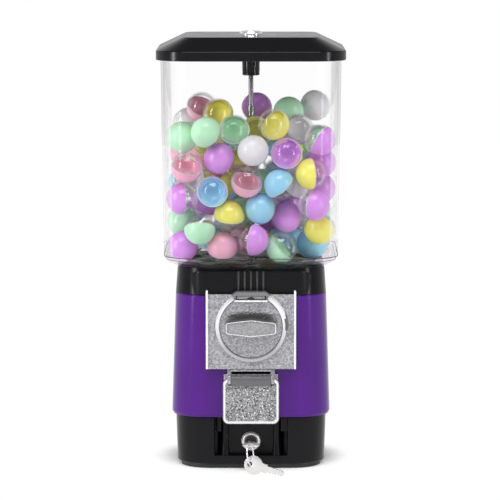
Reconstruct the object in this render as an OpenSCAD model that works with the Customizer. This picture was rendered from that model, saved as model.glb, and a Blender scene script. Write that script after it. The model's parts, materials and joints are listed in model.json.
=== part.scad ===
// Capsule vending machine: a clear square canister on a painted cabinet, with a coin mechanism,
// a dispensing wheel, a chute with a flap door, a lift-off lid and a locked cash base.
// Millimetres, +Z up, front towards -Y, origin at the centre of the base's underside.

/* [Cabinet] */
// Width of the cabinet shell at its lower edge
shell_bottom_w = 162; // [158:1:166]
// Width of the cabinet shell at its upper edge
shell_top_w = 154; // [152:1:158]
// Height at which the shell stands on the base
shell_bottom_z = 54; // [52:1:56]
// Height of the shell's upper edge
shell_top_z = 179; // [179:1:181]
// Plan radius of the cabinet's corners
corner_r = 34; // [30:1:36]
// Wall thickness of the moulded covers
wall = 2.5; // [2:0.1:3]

/* [Base] */
// Width of the base tray at its lower edge
base_bottom_w = 151; // [148:1:153]
// Width of the base tray at its upper edge
base_top_w = 154; // [152:1:156]
// Width of the inset foot plate
foot_w = 143.5; // [138:0.5:146]
// Thickness of the foot plate
foot_h = 5; // [4:0.5:6]
// Distance between the stand bolt holes, both ways
stand_pitch = 80; // [60:5:90]
// Radius of the stand bolt holes
stand_hole_r = 2.75; // [2:0.25:3.5]

/* [Canister] */
// Width of the clear canister at its widest, under the lid
canister_top_w = 183.5; // [180:0.5:185]
// Width of the clear canister just above its bottom chamfer
canister_bottom_w = 178; // [174:0.5:180]
// Height of the canister's open rim
canister_top_z = 421; // [415:1:424]
// Wall thickness of the canister
canister_wall = 2.2; // [1.8:0.1:2.4]

/* [Lid] */
// Width of the lid across its rim band
lid_w = 192.5; // [191:0.5:196]
// Width of the lid's flat top
lid_top_w = 137; // [120:1:150]
// Height of the lid's flat top
lid_top_z = 440; // [438:1:444]

/* [Dispensing wheel] */
// Radius of the wheel
wheel_r = 66; // [65:0.5:66.5]
// Number of capsule pockets
pocket_count = 5; // [5]
// Radius of one capsule pocket
pocket_r = 17.5; // [17:0.1:17.6]
// Radius of the circle that the pockets stand on
pocket_ring_r = 39; // [38.5:0.1:39]

/* [Coin mechanism] */
// Height of the handle shaft
shaft_z = 148; // [148]
// Radius of the handle shaft
shaft_r = 5; // [4:0.25:5]
// Width of the coin plate
plate_w = 91.4; // [88:0.2:94]
// Radius of the round dial
dial_r = 31.6; // [30:0.1:31.6]
// Teeth on the drive gear
gear_teeth = 8; // [8]

/* [Chute door] */
// Width of the chute door
door_w = 57; // [54:1:58]
// Height of the door's upper edge
door_top_z = 95.5; // [95:0.5:96]
// Height of the door's lower edge
door_bottom_z = 49; // [48:0.5:51]

/* [Capsules] */
// Outer diameter of a capsule
capsule_d = 32; // [30:0.5:32]
// Shell thickness of a capsule half
capsule_wall = 1.2; // [0.8:0.1:1.6]
// Height to which the canister is filled
fill_z = 352; // [240:1:356]

/* [Hidden] */

$fn = 48;
// Points round one quarter of a lofted corner
corner_steps = 8;
// Gap between parts that move past each other
gap = 0.3;
// Running clearance of a shaft in its bearing
run = 0.05;
// Overshoot of a cutting shape
eps = 0.5;

neck_top_z = 207;
base_top_z = shell_bottom_z - gap;
recess_back_y = -66.5;
recess_half_w = 37;
recess_floor_z = 13.4;
lock_z = 27;

bore_r = wheel_r + 1.6;
wheel_bottom_z = 166;
wheel_top_z = 204;
floor_top_z = 165.6;
channel_bottom_z = 155;
channel_r = 57;
peg_count = gear_teeth * pocket_count;
peg_tip_z = 158.2;

plate_front_y = -86;
plate_back_y = -82.6;
plate_bottom_z = 104.7;
plate_top_z = 181;
carrier_front_y = plate_back_y + gap;
carrier_back_y = carrier_front_y + 2.6;
frame_front_y = carrier_back_y + gap;
frame_t = 2.5;
ratchet_front_y = frame_front_y + frame_t + 0.4;
gear_front_y = -wheel_r;
gear_w = 6;
rear_bearing_y = -58.6;

hinge_y = -88;
hinge_z = 94;
hinge_pin_r = 1.5;
knuckle_r = 4.4;
knuckle_w = 40.4;
cheek_w = 3;
chute_half_w = 19.2;
chute_wall = 1.8;

rod_r = 2.5;
sleeve_r = 4;
lid_rim_z = 417;
lid_band_z = 426.5;
boss_r = 9;
boss_bottom_z = 398;

capsule_r = capsule_d / 2;
capsule_gap = 0.3;

// ---------- shared shapes ----------

// One ring of points round a rounded square at height z
function ring(w, r, z) = [
    for (q = [0:3], k = [0:corner_steps])
        let (a = q * 90 + k * 90 / corner_steps,
             sx = (q == 0 || q == 3) ? 1 : -1,
             sy = q < 2 ? 1 : -1)
        [sx * (w / 2 - r) + r * cos(a), sy * (w / 2 - r) + r * sin(a), z]
];

// A smooth solid through rounded squares, each given as [height, width, corner radius]
module loft(levels) {
    n = 4 * (corner_steps + 1);
    top = (len(levels) - 1) * n;
    points = [for (l = levels) each ring(l[1], l[2], l[0])];
    sides = [
        for (i = [0:len(levels) - 2], k = [0:n - 1])
            let (a = i * n + k, b = i * n + (k + 1) % n)
            each [[a, b + n, b], [a, a + n, b + n]]
    ];
    caps = [[for (k = [0:n - 1]) k], [for (k = [n - 1:-1:0]) top + k]];
    polyhedron(points = points, faces = concat(caps, sides), convexity = 6);
}

// A flat rounded rectangle with true round corners
module rounded_rect(w, d, r) {
    square([w - 2 * r, d], center = true);
    square([w, d - 2 * r], center = true);
    for (x = [-1, 1], y = [-1, 1])
        translate([x * (w / 2 - r), y * (d / 2 - r)]) circle(r);
}

// Turns a flat XY shape upright so that its height is Z, and thickens it from y_front to y_back
module upright(y_front, y_back) {
    translate([0, y_back, 0]) rotate([90, 0, 0]) linear_extrude(y_back - y_front) children();
}

// A block between two corners
module block(low, high) {
    translate(low) cube(high - low);
}

// A cylinder along Y
module rod_y(r, y0, y1, x = 0, z = 0) {
    translate([x, y1, z]) rotate([90, 0, 0]) cylinder(r = r, h = y1 - y0);
}

// Puts a copy at each corner of a square
module at_corners(half) {
    for (x = [-1, 1], y = [-1, 1])
        translate([x * half, y * half, 0]) children();
}

// ---------- base ----------

module recess_outline(grow) {
    polygon([
        [-recess_half_w - 4 * grow, -90], [recess_half_w + 4 * grow, -90],
        [29 + grow, -72 + grow], [25 + grow, recess_back_y + grow],
        [-25 - grow, recess_back_y + grow], [-29 - grow, -72 + grow]
    ]);
}

module base_tray() {
    color([0.09, 0.09, 0.1])
    difference() {
        union() {
            difference() {
                loft([[foot_h, base_bottom_w, corner_r - 2], [base_top_z, base_top_w, corner_r]]);
                loft([[foot_h + 3, base_bottom_w - 5, corner_r - 4],
                      [base_top_z + eps, base_top_w - 5, corner_r - 2]]);
            }
            intersection() {
                linear_extrude(base_top_z) recess_outline(3);
                loft([[foot_h, base_bottom_w, corner_r - 2], [base_top_z, base_top_w, corner_r]]);
            }
        }
        translate([0, 0, recess_floor_z])
            linear_extrude(base_top_z) difference() {
                recess_outline(0);
                for (x = [-25.6, 25.6]) translate([x, recess_back_y - 2]) circle(3.4);
            }
        rod_y(8.6, recess_back_y - eps, recess_back_y + 3 + eps, z = lock_z);
        at_corners(stand_pitch / 2) cylinder(r = stand_hole_r, h = 20);
        at_corners(54) cylinder(r = 2, h = 20);
    }
}

module foot_plate() {
    color([0.07, 0.07, 0.08])
    difference() {
        linear_extrude(foot_h) rounded_rect(foot_w, foot_w, corner_r - 4);
        translate([0, 0, -eps]) {
            at_corners(stand_pitch / 2) cylinder(r = stand_hole_r, h = foot_h + 1);
            at_corners(54) cylinder(r = 2, h = foot_h + 1);
            at_corners(54) cylinder(r = 4.3, h = 2.6 + eps);
        }
    }
}

module foot_screws() {
    color([0.7, 0.7, 0.72])
    at_corners(54) {
        translate([0, 0, 0.4]) cylinder(r = 3.8, h = 2.2 - gap);
        translate([0, 0, 1]) cylinder(r = 1.9, h = 10);
    }
}

module base_lock_body() {
    color([0.8, 0.8, 0.82])
    difference() {
        union() {
            rod_y(10, recess_back_y - 2.4, recess_back_y, z = lock_z);
            rod_y(9, recess_back_y - 4, recess_back_y - 2.4, z = lock_z);
            rod_y(8.3, recess_back_y, -51, z = lock_z);
        }
        rod_y(6 + run, recess_back_y - 5, -50, z = lock_z);
    }
}

module base_lock_nut() {
    color([0.75, 0.75, 0.76])
    difference() {
        translate([0, -59.4, lock_z]) rotate([90, 0, 0]) cylinder(r = 12.5, h = 4, $fn = 6);
        rod_y(8.33, -64, -59, z = lock_z);
    }
}

module base_lock_plug() {
    color([0.45, 0.42, 0.4])
    difference() {
        union() {
            rod_y(6, -70, -49, z = lock_z);
            rod_y(3, -49, -45.5, z = lock_z);
        }
        block([-4.5, -71, lock_z - 0.9], [4.5, -62, lock_z + 0.9]);
    }
}

// Flat cam behind the base wall; it points to one side when the lock is open
module base_lock_cam() {
    color([0.72, 0.72, 0.74])
    difference() {
        upright(-48.7, -46.7) translate([0, lock_z]) {
            circle(7);
            translate([0, -5]) square([25, 10]);
        }
        rod_y(3.02, -50, -45, z = lock_z);
    }
}

// A flat key: round bow with a ring hole, a shoulder and a toothed blade along +X
module flat_key(bow_r, hole_x, blade_len, thick) {
    teeth = 5;
    translate([0, thick / 2, 0]) rotate([90, 0, 0]) linear_extrude(thick)
    difference() {
        union() {
            circle(bow_r);
            translate([0, -bow_r * 0.45]) square([bow_r + 4.5, bow_r * 0.9]);
            translate([bow_r, -2.9]) square([blade_len, 5.8]);
            translate([bow_r + blade_len, 0]) circle(2.9, $fn = 6);
        }
        translate([hole_x, 0]) circle(2.6);
        for (k = [0:teeth - 1])
            translate([bow_r + 7 + k * 3, -3.4]) rotate(45) square(1.2 + 0.5 * (k % 2));
    }
}

module lock_key() {
    color([0.85, 0.83, 0.78])
    translate([0, -88, lock_z]) rotate([0, 90, 0]) rotate([0, 0, 90])
        flat_key(9, -4, 15, 1.7);
}

// Wire ring that leans out from the key in the lock to the spare key on the ground
module key_ring() {
    color([0.85, 0.85, 0.87])
    translate([-0.6, -100.3, 19.3]) rotate([0, 82, -16])
        rotate_extrude() translate([11.4, 0]) circle(0.6);
}

module spare_key() {
    color([0.9, 0.89, 0.85])
    translate([2.7, -109, 10.1]) rotate([0, 0, -16]) rotate([0, 13.5, 0])
        flat_key(9.7, -4, 20, 1.9);
}

// ---------- cabinet ----------

module shell_solid(inset, z0, z1) {
    loft([
        [z0, shell_bottom_w - 3 - 2 * inset, corner_r - 1 - inset],
        [z0 + 3, shell_bottom_w - 2 * inset, corner_r - inset],
        [z1, shell_top_w - 2 * inset, corner_r - inset]
    ]);
}

module body_shell() {
    mouth_r = bore_r + 2.9;
    color([0.38, 0.18, 0.59])
    difference() {
        shell_solid(0, shell_bottom_z, shell_top_z);
        shell_solid(wall, shell_bottom_z + wall, shell_top_z - wall);
        translate([0, 0, shell_bottom_z - eps])
            linear_extrude(wall + 1) rounded_rect(130, 130, 24);
        translate([0, 0, shell_top_z - wall - eps]) cylinder(r = mouth_r, h = wall + 1);
        block([-40, -90, 113], [40, -60, 178]);
        block([-26, -90, shell_bottom_z - 1], [26, -60, 98]);
        block([-22, -90, 90], [22, -60, 100]);
        at_corners(56) translate([0, 0, 170]) cylinder(r = 2.1, h = 20);
    }
}

module neck_housing() {
    tube_r = bore_r + 2.4;
    rib_pitch = 6.3;
    color([0.1, 0.1, 0.11])
    difference() {
        union() {
            difference() {
                loft([[shell_top_z, shell_top_w, corner_r], [200, 151, corner_r],
                      [neck_top_z, 150, corner_r - 2]]);
                loft([[shell_top_z + wall, shell_top_w - 2 * wall, corner_r - wall],
                      [neck_top_z - wall, 151 - 2 * wall, corner_r - wall]]);
            }
            translate([0, 0, wheel_bottom_z]) cylinder(r = tube_r, h = neck_top_z - wheel_bottom_z);
            intersection() {
                translate([0, -50, shell_top_z]) linear_extrude(25.6) rounded_rect(129, 55.8, 19);
                block([-65, -78, 170], [65, -64, 210]);
            }
            for (k = [-2:2])
                translate([k * rib_pitch - 0.8, -79, 182]) cube([1.6, 4, 22]);
        }
        translate([0, 0, wheel_bottom_z - eps])
            cylinder(r = bore_r, h = neck_top_z - wheel_bottom_z + 1);
        at_corners(56) translate([0, 0, 170]) cylinder(r = 2.1, h = 20);
    }
}

module neck_screws() {
    color([0.7, 0.7, 0.72])
    at_corners(56) {
        translate([0, 0, shell_top_z - wall - 2.2]) cylinder(r = 3.8, h = 2.2);
        translate([0, 0, shell_top_z - wall - 1]) cylinder(r = 2, h = 8);
    }
}

// Round floor under the wheel, with a channel for the wheel's pegs and one drop hole at the rear
module hopper_floor() {
    outer_r = bore_r + 1.9;
    color([0.16, 0.16, 0.17])
    difference() {
        union() {
            rotate_extrude() polygon([
                [0, 160], [12, 160], [14, 163], [channel_r, 163], [channel_r, channel_bottom_z],
                [outer_r, channel_bottom_z], [outer_r, wheel_bottom_z],
                [bore_r, wheel_bottom_z], [bore_r, channel_bottom_z + 2],
                [channel_r + 2, channel_bottom_z + 2], [channel_r + 2, floor_top_z], [0, floor_top_z]
            ]);
            translate([0, pocket_ring_r, channel_bottom_z]) cylinder(r = 19, h = 9);
        }
        translate([0, 0, 150]) cylinder(r = rod_r + 0.02, h = 20);
        translate([0, pocket_ring_r, 150]) cylinder(r = pocket_r, h = 20);
        block([-13.5, -72, channel_bottom_z - 1], [13.5, -56, channel_bottom_z + 5]);
    }
}

// Plate over the pocket that stands above the drop hole
module wheel_guard() {
    color([0.2, 0.2, 0.21])
    translate([0, 0, wheel_top_z + 0.6])
    linear_extrude(1.8)
    intersection() {
        difference() {
            circle(bore_r - 0.02);
            circle(18);
        }
        polygon([[-9, 0], [9, 0], [46, 80], [-46, 80]]);
    }
}

module chute_side(inset) {
    polygon([
        [20.5 - inset, channel_bottom_z + (inset == 0 ? eps : 0)],
        [57.5 + inset, channel_bottom_z + (inset == 0 ? eps : 0)],
        [57.5 + inset, 117 - inset], [-81.2 - (inset == 0 ? eps : 0), 57 - inset],
        [-81.2 - (inset == 0 ? eps : 0), 95 + inset], [20.5 - inset, 141 + inset]
    ]);
}

// Square sloping tube from the drop hole to the door
module capsule_chute() {
    color([0.2, 0.2, 0.21])
    difference() {
        translate([-chute_half_w - chute_wall, 0, 0]) rotate([90, 0, 90])
            linear_extrude(2 * (chute_half_w + chute_wall)) chute_side(chute_wall);
        translate([-chute_half_w, 0, 0]) rotate([90, 0, 90])
            linear_extrude(2 * chute_half_w) chute_side(0);
    }
}

module canister() {
    t = 2 * canister_wall;
    color([0.85, 0.9, 0.92, 0.25])
    difference() {
        loft([
            [neck_top_z, 150, 28], [208.5, 158, 30], [211.5, 169, 33],
            [217, canister_bottom_w, 35], [canister_top_z, canister_top_w, 35]
        ]);
        loft([
            [neck_top_z + canister_wall, 153, 28], [213, 166, 31],
            [218, canister_bottom_w - t, 33], [canister_top_z + eps, canister_top_w - t, 33]
        ]);
        translate([0, 0, neck_top_z - eps]) cylinder(r = wheel_r, h = 5);
    }
}

module center_rod() {
    color([0.55, 0.56, 0.57])
    translate([0, 0, 150]) cylinder(r = rod_r, h = 272);
}

module rod_sleeve() {
    color([0.4, 0.42, 0.42])
    translate([0, 0, floor_top_z]) difference() {
        cylinder(r = sleeve_r, h = 366 - floor_top_z);
        translate([0, 0, -eps]) cylinder(r = rod_r + 0.02, h = 220);
    }
}

module rod_nut() {
    color([0.7, 0.7, 0.72])
    translate([0, 0, 153]) difference() {
        union() {
            cylinder(r = 6, h = 5.5, $fn = 6);
            translate([0, 0, 5.5]) cylinder(r = 8, h = 1.5);
        }
        translate([0, 0, -eps]) cylinder(r = rod_r + 0.02, h = 9);
    }
}

// ---------- coin mechanism ----------

module coin_plate() {
    half = plate_w / 2;
    rim = 2.5;
    color([0.72, 0.73, 0.75])
    difference() {
        union() {
            block([-half, plate_front_y + 0.6, plate_bottom_z], [half, plate_back_y, plate_top_z]);
            block([-half, plate_front_y, plate_bottom_z], [half, plate_back_y, plate_bottom_z + 4]);
            for (x = [-half, half - rim])
                block([x, plate_front_y - 1.5, plate_bottom_z], [x + rim, -80.4, plate_top_z + 4]);
            for (x = [-35, 35], z = [121, 172])
                rod_y(3.2, plate_back_y - eps, frame_front_y, x, z);
        }
        rod_y(dial_r + gap, plate_front_y - 2, plate_back_y + eps, z = shaft_z);
        block([-15, plate_front_y - 2, 172.8], [15, plate_back_y + eps, plate_top_z + 2]);
        for (x = [-35, 35], z = [121, 172]) rod_y(1.5, -84.5, frame_front_y + eps, x, z);
    }
}

// Polished ring round the dial; it widens into a stepped tail on the right
module dial_bezel() {
    inner_r = dial_r + gap + 0.1;
    color([0.85, 0.85, 0.87])
    upright(plate_front_y - 2.2, plate_front_y) translate([0, shaft_z]) difference() {
        union() {
            circle(36.2);
            intersection() {
                circle(37.8);
                polygon([[0, 0], [60, -4], [60, 60], [17, 60]]);
            }
        }
        circle(inner_r);
        translate([-17.5, 24.8]) square([35, 20]);
        translate([-20.5, 31.7]) square([41, 10]);
    }
}

// Cast hood over the coin slot; its cap rests on the plate's top and its feet on the plate's front
module coin_hood() {
    back_y = plate_front_y - 0.8;
    color([0.72, 0.73, 0.75])
    difference() {
        union() {
            upright(-92, back_y) polygon([
                [-17.2, 174.2], [17.2, 174.2], [17.2, 180], [20, 180.6], [14.8, 184],
                [-14.8, 184], [-20, 180.6], [-17.2, 180]
            ]);
            upright(back_y - eps, -79.5) polygon([[-19.4, plate_top_z], [19.4, plate_top_z],
                                                  [14.8, 184], [-14.8, 184]]);
            for (x = [-17.2, 15])
                block([x, back_y - eps, 176.4], [x + 2.2, plate_front_y + 0.6, plate_top_z + eps]);
        }
        block([-15.4, -93, 176.4], [15.4, -89, 180.4]);
        block([-13, carrier_front_y, 170], [13, carrier_back_y, 190]);
    }
}

// Back plate with the front bearing, two straps and the rear bearing
module mech_frame() {
    color([0.6, 0.61, 0.63])
    difference() {
        union() {
            block([-38.5, frame_front_y, 114.5], [38.5, frame_front_y + frame_t, 177]);
            for (x = [-20, 18])
                block([x, frame_front_y + frame_t - eps, 134], [x + 2, rear_bearing_y + 2, 146]);
            block([-20, rear_bearing_y, 134], [20, rear_bearing_y + 2, 154]);
        }
        rod_y(shaft_r + run, -82, -50, z = shaft_z);
        for (x = [-35, 35], z = [121, 172]) rod_y(1.9, -82, -74, x, z);
        rod_y(hinge_pin_r, -82, -74, 24, shaft_z + 14);
    }
}

module mech_screws() {
    back = frame_front_y + frame_t;
    color([0.7, 0.68, 0.6])
    for (x = [-35, 35], z = [121, 172]) {
        rod_y(1.45, -84, back + 0.5, x, z);
        rod_y(3.2, back, back + 2, x, z);
    }
}

module pawl_pin() {
    color([0.75, 0.75, 0.76])
    union() {
        rod_y(hinge_pin_r, frame_front_y, -71, 24, shaft_z + 14);
        rod_y(2.6, -71.8, -71, 24, shaft_z + 14);
    }
}

// Small torsion spring on the pawl's pin
module pawl_spring() {
    color([0.6, 0.6, 0.62])
    for (k = [0:1])
        translate([24, -73.1 + k * 0.75, shaft_z + 14]) rotate([90, 0, 0])
            rotate_extrude() translate([2.1, 0]) circle(0.3);
}

// Sprung pawl that lets the ratchet wheel turn one way only
module ratchet_pawl() {
    color([0.72, 0.7, 0.62])
    difference() {
        upright(ratchet_front_y, ratchet_front_y + 2.6) translate([0, shaft_z]) {
            translate([24, 14]) circle(3.6);
            polygon([[14.6, 1.2], [16.6, 2], [24, 8.6], [26, 11.5], [22, 16.6], [19.6, 12]]);
        }
        rod_y(hinge_pin_r + run, -82, -70, 24, shaft_z + 14);
    }
}

// Round dial with a long six-sided grip
module coin_handle() {
    color([0.74, 0.75, 0.77])
    union() {
        rod_y(dial_r, plate_front_y - 0.4, plate_back_y - 0.3, z = shaft_z);
        upright(-100, plate_front_y) translate([0, shaft_z]) polygon([
            [-25.5, -4], [-23.5, -5.5], [0, -8.75], [23.5, -5.5], [25.5, -4],
            [25.5, 4], [23.5, 5.5], [0, 8.75], [-23.5, 5.5], [-25.5, 4]
        ]);
    }
}

module handle_shaft() {
    color([0.7, 0.7, 0.72])
    rod_y(shaft_r, plate_back_y - 0.3, -54, z = shaft_z);
}

// Thin wheel that carries the coin round; its pocket is open at the top
module coin_carrier() {
    color([0.7, 0.68, 0.6])
    upright(carrier_front_y, carrier_back_y) translate([0, shaft_z]) difference() {
        circle(28.5);
        circle(shaft_r + 0.03);
        translate([0, 19]) circle(12.6);
        translate([-12.6, 19]) square([25.2, 12]);
    }
}

module ratchet_wheel() {
    teeth = 16;
    step = 360 / teeth;
    color([0.72, 0.7, 0.62])
    upright(ratchet_front_y, ratchet_front_y + 2.6) translate([0, shaft_z]) difference() {
        polygon([
            for (k = [0:teeth - 1]) let (a = k * step + 1)
                each [[14.3 * cos(a), 14.3 * sin(a)], [12 * cos(a + 1), 12 * sin(a + 1)]]
        ]);
        circle(shaft_r + 0.03);
    }
}

// Straight-toothed gear that reaches up to the pegs under the wheel
module drive_gear() {
    color([0.86, 0.85, 0.8])
    upright(gear_front_y, gear_front_y + gear_w) translate([0, shaft_z]) difference() {
        union() {
            circle(9.6);
            for (k = [0:gear_teeth - 1])
                rotate(k * 360 / gear_teeth)
                    polygon([[-2.3, 8], [2.3, 8], [1.8, 12.6], [1.1, 14.2], [-1.1, 14.2], [-1.8, 12.6]]);
        }
        circle(shaft_r + 0.03);
    }
}

module shaft_clip() {
    color([0.5, 0.5, 0.52])
    upright(-56.2, -55) translate([0, shaft_z]) difference() {
        circle(8);
        circle(shaft_r + 0.03);
        translate([-3, -10]) square([6, 9]);
    }
}

// Wheel with open capsule pockets, a hub on the rod sleeve and driving pegs below its rim
module dispensing_wheel() {
    h = wheel_top_z - wheel_bottom_z;
    color([0.75, 0.12, 0.12])
    translate([0, 0, wheel_bottom_z])
    difference() {
        union() {
            difference() {
                cylinder(r = wheel_r, h = h);
                translate([0, 0, -eps]) cylinder(r = wheel_r - 6, h = h - 2.5 + eps);
            }
            cylinder(r = 9, h = h);
            for (k = [0:pocket_count - 1]) rotate(90 + k * 360 / pocket_count)
                translate([pocket_ring_r, 0, 0]) cylinder(r = pocket_r + 2, h = h);
            for (k = [0:peg_count - 1]) rotate((k + 0.5) * 360 / peg_count - 90)
                translate([60, 0, 0]) rotate([90, 0, 90]) linear_extrude(wheel_r - 60)
                    polygon([[-2.2, eps], [-1.4, peg_tip_z - wheel_bottom_z],
                             [1.4, peg_tip_z - wheel_bottom_z], [2.2, eps]]);
        }
        for (k = [0:pocket_count - 1]) rotate(90 + k * 360 / pocket_count)
            translate([pocket_ring_r, 0, -eps]) cylinder(r = pocket_r, h = h + 1);
        translate([0, 0, -eps]) cylinder(r = sleeve_r + run, h = h + 1);
    }
}

// ---------- chute door ----------

module chute_frame() {
    back_y = -81.4;
    front_y = -83.2;
    color([0.7, 0.71, 0.73])
    difference() {
        union() {
            block([-27.5, front_y, 52], [27.5, back_y, 99]);
            block([-24, front_y, 98], [24, back_y, 104.4]);
            block([-20.4, -85.6, 102], [20.4, front_y + eps, 104.4]);
            for (s = [-1, 1]) translate([s * (knuckle_w / 2 + gap + cheek_w / 2), 0, 0])
                rotate([90, 0, 90]) linear_extrude(cheek_w, center = true)
                    polygon([[front_y + eps, 89.4], [front_y + eps, 98.5], [-92, 98.5],
                             [-92, 90.6], [-90.8, 89.4]]);
        }
        block([-chute_half_w, -90, 57], [chute_half_w, -80, 95]);
        block([-20, -90, 99], [20, -80, 101.8]);
        translate([-30, hinge_y, hinge_z]) rotate([0, 90, 0]) cylinder(r = hinge_pin_r, h = 60);
    }
}

module door_hinge_pin() {
    half = knuckle_w / 2 + gap + cheek_w;
    color([0.8, 0.8, 0.82])
    translate([-half, hinge_y, hinge_z]) rotate([0, 90, 0]) cylinder(r = hinge_pin_r, h = 2 * half);
}

module chute_door() {
    h = door_top_z - door_bottom_z;
    mid_z = (door_top_z + door_bottom_z) / 2;
    notch = knuckle_w / 2 + cheek_w + 2 * gap;
    color([0.78, 0.79, 0.8])
    difference() {
        union() {
            difference() {
                union() {
                    upright(-91, hinge_y) translate([0, mid_z]) rounded_rect(door_w, h, 6);
                    upright(-92, -91 + eps) translate([0, mid_z]) difference() {
                        rounded_rect(door_w, h, 6);
                        rounded_rect(door_w - 6, h - 6, 3.5);
                    }
                }
                block([-notch, -95, 88.3], [notch, -80, 100]);
            }
            block([-knuckle_w / 2, -91, 87.8], [knuckle_w / 2, hinge_y, hinge_z]);
            translate([-knuckle_w / 2, hinge_y, hinge_z]) rotate([0, 90, 0])
                cylinder(r = knuckle_r, h = knuckle_w);
        }
        translate([-30, hinge_y, hinge_z]) rotate([0, 90, 0])
            cylinder(r = hinge_pin_r + run, h = 60);
    }
}

// ---------- lid ----------

module lid_shell() {
    color([0.08, 0.08, 0.09])
    difference() {
        loft([[lid_rim_z, lid_w, 35], [lid_band_z, lid_w, 35], [lid_top_z, lid_top_w, 15]]);
        loft([[lid_rim_z - eps, lid_w - 5, 33], [lid_band_z - 1, lid_w - 5, 33],
              [lid_top_z - wall, lid_top_w - 2, 14]]);
        translate([0, 0, lid_top_z - 5]) cylinder(r = 8.55, h = 10);
    }
}

module lid_boss() {
    color([0.1, 0.1, 0.11])
    difference() {
        union() {
            translate([0, 0, boss_bottom_z]) cylinder(r = boss_r, h = 30);
            translate([0, 0, 428]) cylinder(r = 16, h = lid_top_z - wall - 428);
        }
        translate([0, 0, boss_bottom_z - 1]) cylinder(r = rod_r + 0.1, h = 28);
        translate([0, 0, 424.9]) cylinder(r = 8.55, h = 20);
    }
}

module lid_lock_body() {
    color([0.8, 0.8, 0.82])
    difference() {
        union() {
            translate([0, 0, 425]) cylinder(r = 8.5, h = lid_top_z - 425);
            translate([0, 0, lid_top_z]) cylinder(r = 12, h = 2);
            translate([0, 0, lid_top_z + 2]) cylinder(r1 = 12, r2 = 9.5, h = 2);
        }
        translate([0, 0, 427]) cylinder(r = 6 + run, h = 20);
    }
}

module lid_lock_plug() {
    color([0.45, 0.42, 0.4])
    difference() {
        translate([0, 0, 427.3]) cylinder(r = 6, h = lid_top_z + 3.2 - 427.3);
        block([-4.5, -0.9, 434], [4.5, 0.9, 450]);
    }
}

// ---------- capsules ----------

PURPLE = 0;
PINK = 1;
MINT = 2;
BLUE = 3;
YELLOW = 4;
GREY = 5;
capsule_colors = [[0.78, 0.53, 0.86], [0.98, 0.63, 0.75], [0.69, 0.88, 0.75],
                  [0.51, 0.76, 0.92], [0.9, 0.84, 0.37], [0.82, 0.8, 0.84]];

// Front capsules: [x, z, colour, tilt of the clear half from up, turn about Z, nearest y]
front_row = [
    [-65, 309, PINK, 30, -70, -99], [-45, 344, MINT, 115, 55, -99], [2, 326, GREY, 80, 100, -99],
    [-32, 317, PURPLE, 105, 65, -99], [36, 323, PURPLE, 75, -80, -99],
    [70, 336, PURPLE, 60, 160, -99], [-4, 294, PINK, 32, -65, -99],
    [61, 302, YELLOW, 88, 15, -99], [-39, 284, BLUE, 70, -80, -99], [29, 291, BLUE, 135, 35, -99],
    [-70, 276, PURPLE, 90, 15, -99], [-22, 258, YELLOW, 158, 105, -99],
    [10, 266, BLUE, 100, 60, -99], [37, 256, PURPLE, 95, 60, -99],
    [64, 270, PURPLE, 85, 150, -99], [-52, 246, MINT, 30, 90, -99],
    [70, 244, YELLOW, 65, 70, -99], [-70, 226, PURPLE, 100, 120, -99],
    [-29, 226, PINK, 140, 90, -99], [2, 235, PURPLE, 85, 160, -99],
    [31, 226, MINT, 50, -10, -99], [63, 226, BLUE, 100, 90, -99],
    [23, 352, YELLOW, 60, -140, -99], [48, 346, GREY, 50, -60, -99],
    [-70, 338, MINT, 95, 80, -99], [-17, 345, MINT, 60, -90, -99],
    [-70, 250, MINT, 110, 100, -99], [71, 311, PURPLE, 90, 90, -99],
    [71, 283, PURPLE, 100, 100, -99], [6, 363, PURPLE, 120, 100, 21],
    [39, 360, MINT, 110, 100, 0], [-34, 359, YELLOW, 60, -120, -10],
    [-51, 364, PINK, 40, -60, 0], [67, 366, GREY, 80, 60, 0]
];

reach = 2 * capsule_r + capsule_gap;
corner_reach = 33 - capsule_r - capsule_gap;
rod_limit = capsule_r + sleeve_r + capsule_gap;
lowest_z = neck_top_z + canister_wall + capsule_r + 0.4;

// First free place at or above start, given blocked stretches [from, to]
function first_free(blocks, start) =
    let (hits = [for (b = blocks) if (start > b[0] + 0.01 && start < b[1] - 0.01) b[1]])
    len(hits) == 0 ? start : first_free(blocks, max(hits));

// Half width, at height z, of the square that capsule centres keep inside, corners left out
function corner_center(z) =
    canister_bottom_w / 2 - canister_wall - 33
    + (z - 218) * (canister_top_w - canister_bottom_w) / 2 / (canister_top_z - 218);

// Largest distance from the middle plane for a capsule at offset x along the wall and height z
function wall_limit(x, z) =
    let (past = abs(x) - corner_center(z))
    corner_center(z) + (past <= 0 ? corner_reach : sqrt(max(0, pow(corner_reach, 2) - past * past)));

// Where a ball at (u, v) can lie along the third axis w
function lie(placed, u_axis, v_axis, w_axis, u, v, start) =
    first_free([
        for (p = placed)
            let (d = norm([p[u_axis] - u, p[v_axis] - v]))
            if (d < reach)
                let (h = sqrt(reach * reach - d * d))
                [p[w_axis] - h, p[w_axis] + h]
    ], start);

// The front row: each capsule as near to the front wall as those before it leave room
function front_placed(placed = [], i = 0) =
    i == len(front_row) ? placed :
    let (f = front_row[i],
         y = lie(placed, 0, 2, 1, f[0], f[1], max(f[5], -wall_limit(f[0], f[1]))))
    front_placed(concat(placed, [[f[0], y, f[1], f[2], f[3], f[4]]]), i + 1);

function in_canister(x, y) =
    norm([x, y]) > rod_limit && abs(y) < wall_limit(x, lowest_z);

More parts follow.
